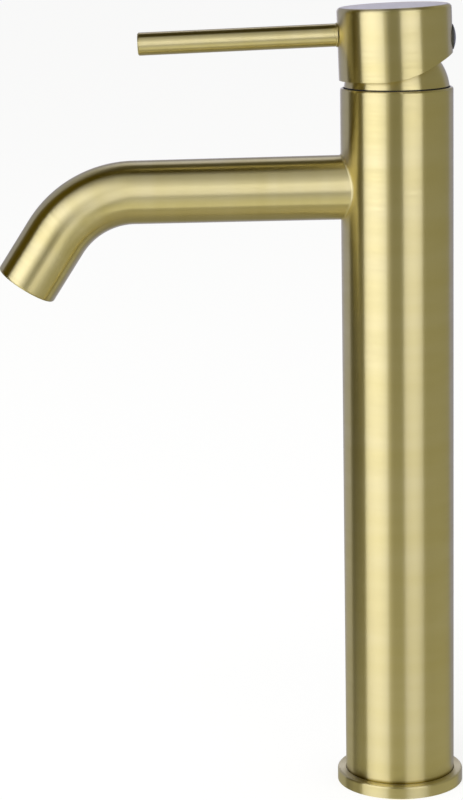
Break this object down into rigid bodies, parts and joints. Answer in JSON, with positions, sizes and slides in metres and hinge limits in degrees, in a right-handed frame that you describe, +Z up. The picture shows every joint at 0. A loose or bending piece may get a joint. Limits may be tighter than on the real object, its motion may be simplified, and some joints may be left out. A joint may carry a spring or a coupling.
{
  "type": "basin mixer faucet",
  "caption": "Tall single-lever basin mixer in brushed gold: round column, bent tube spout, pin lever, ceramic disc cartridge and threaded water inlets in the foot.",
  "frame": {"origin": "centre of the foot on the deck plane, on the column axis", "axes": "+Z up along the column; -X towards the spout and lever; +Y is the user's left, the hot side"},
  "size_m": [0.1737, 0.0486, 0.3002],
  "materials": {
    "brushed_gold": "brushed gold-coloured coating on brass",
    "raw_brass": "machined",
    "copper_tube": "drawn copper tube",
    "black_rubber": "moulded",
    "white_plastic": "moulded",
    "grey_plastic": "moulded",
    "dark_plastic": "polished",
    "ceramic": "lapped alumina ceramic",
    "stainless": "turned stainless steel"
  },
  "bodies": {
    "body": {"column_shell": "brushed_gold", "base_ring": "brushed_gold", "base_gasket": "black_rubber", "foot_block": "raw_brass", "hot_riser": "copper_tube", "cold_riser": "copper_tube", "riser_seals": "black_rubber", "valve_body": "raw_brass", "port_seals": "black_rubber", "spout_tube": "brushed_gold", "outlet_washer": "black_rubber", "outlet_sleeve": "grey_plastic", "flow_plate": "white_plastic", "outlet_grille": "grey_plastic", "cartridge_base": "white_plastic", "base_seals": "black_rubber", "fixed_disc": "ceramic", "cartridge_housing": "white_plastic", "retaining_nut": "raw_brass", "dome_seal": "black_rubber", "dome_cover": "brushed_gold", "rim_seal": "black_rubber"},
    "turret": {"rotor": "grey_plastic", "pivot_pin": "stainless"},
    "handle": {"stem": "raw_brass", "handle_shell": "brushed_gold", "lever_rod": "brushed_gold", "clamp_screw": "stainless", "rear_plug": "dark_plastic"},
    "disc": {"moving_disc": "ceramic", "disc_carrier": "dark_plastic"}
  },
  "joints": [
    {"name": "temperature", "type": "hinge", "parent": "body", "child": "turret", "pos_m": [0, 0, 0.2678], "axis": [0, 0, 1], "range_deg": [-50, 50]},
    {"name": "lift", "type": "hinge", "parent": "turret", "child": "handle", "pos_m": [0, 0, 0.2678], "axis": [0, 1, 0], "range_deg": [0, 25]},
    {"name": "disc_slide", "type": "slide", "parent": "turret", "child": "disc", "axis": [-1, 0, 0], "range_m": [0, 0.00405]}
  ],
  "couplings": [
    {"joint": "disc_slide", "follows": "lift", "m_per_rad": 0.009226}
  ]
}
